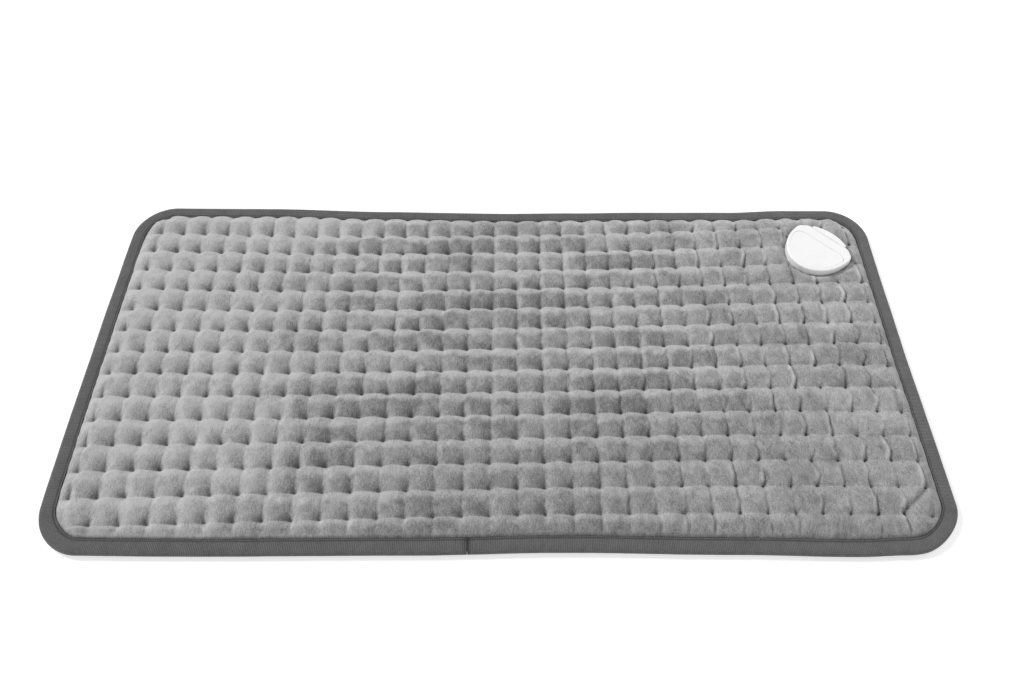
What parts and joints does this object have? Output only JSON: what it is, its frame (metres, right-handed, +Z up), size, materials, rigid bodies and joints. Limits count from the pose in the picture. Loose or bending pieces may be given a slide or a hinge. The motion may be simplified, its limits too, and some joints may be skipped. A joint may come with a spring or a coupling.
{
  "type": "heating pad",
  "caption": "Flat rectangular electric heating pad in tufted plush with a bound edge and rounded corners, and an oval push-button controller fixed in one corner.",
  "frame": {"origin": "middle of the pad's underside, on the surface that it lies on", "axes": "+X along the pad's length towards the controller's end, +Y across it towards the controller's edge, +Z up out of the tufted face"},
  "size_m": [0.61, 0.305, 0.0126],
  "materials": {
    "plush_face": "short brushed polyester pile, sewn down at small tacks",
    "plush_back": "short brushed polyester pile, plain",
    "tape": "ribbed polyester binding tape",
    "wadding": "thin polyester wadding",
    "carrier": "non-woven sheet",
    "heating_wire": "smooth heat-resistant wire jacket",
    "lead": "smooth wire jacket",
    "sleeve": "heat-shrink sleeve",
    "white_plastic": "fine satin white ABS",
    "dark_plastic": "moulded thermoset or nylon",
    "capacitor": "dipped film capacitor",
    "board": "solder-masked glass epoxy",
    "steel": "plated steel",
    "brass": "turned brass"
  },
  "bodies": {
    "pad": {"front_cover": "plush_face", "back_cover": "plush_back", "edge_binding": "tape", "front_wadding": "wadding", "back_wadding": "wadding", "heater_carrier": "carrier", "heating_wire_1": "heating_wire", "heating_wire_2": "heating_wire", "heating_wire_3": "heating_wire", "thermal_cutout_1": "sleeve", "thermal_cutout_2": "sleeve", "heater_lead_1": "lead", "heater_lead_2": "lead", "crimp_splice_1": "sleeve", "crimp_splice_2": "sleeve", "controller_base": "white_plastic", "controller_shell": "white_plastic", "return_spring": "steel", "circuit_board": "board", "switch_body": "dark_plastic", "triac": "dark_plastic", "fuse": "sleeve", "film_capacitor": "capacitor", "microcontroller": "dark_plastic", "terminal_block": "dark_plastic", "lead_clamp": "dark_plastic", "inlet_block": "dark_plastic", "inlet_pin_1": "brass", "inlet_pin_2": "brass", "shell_screw_1": "steel", "shell_screw_2": "steel", "shell_screw_3": "steel", "shell_screw_4": "steel"},
    "button": {"button_cap": "white_plastic", "switch_plunger": "dark_plastic"}
  },
  "joints": [
    {"name": "button_press", "type": "slide", "parent": "pad", "child": "button", "axis": [0, 0, -1], "range_m": [0, 0.0008], "stiffness_N_per_m": 1200, "springref_m": -0.0006, "deforming": ["return_spring"]}
  ]
}
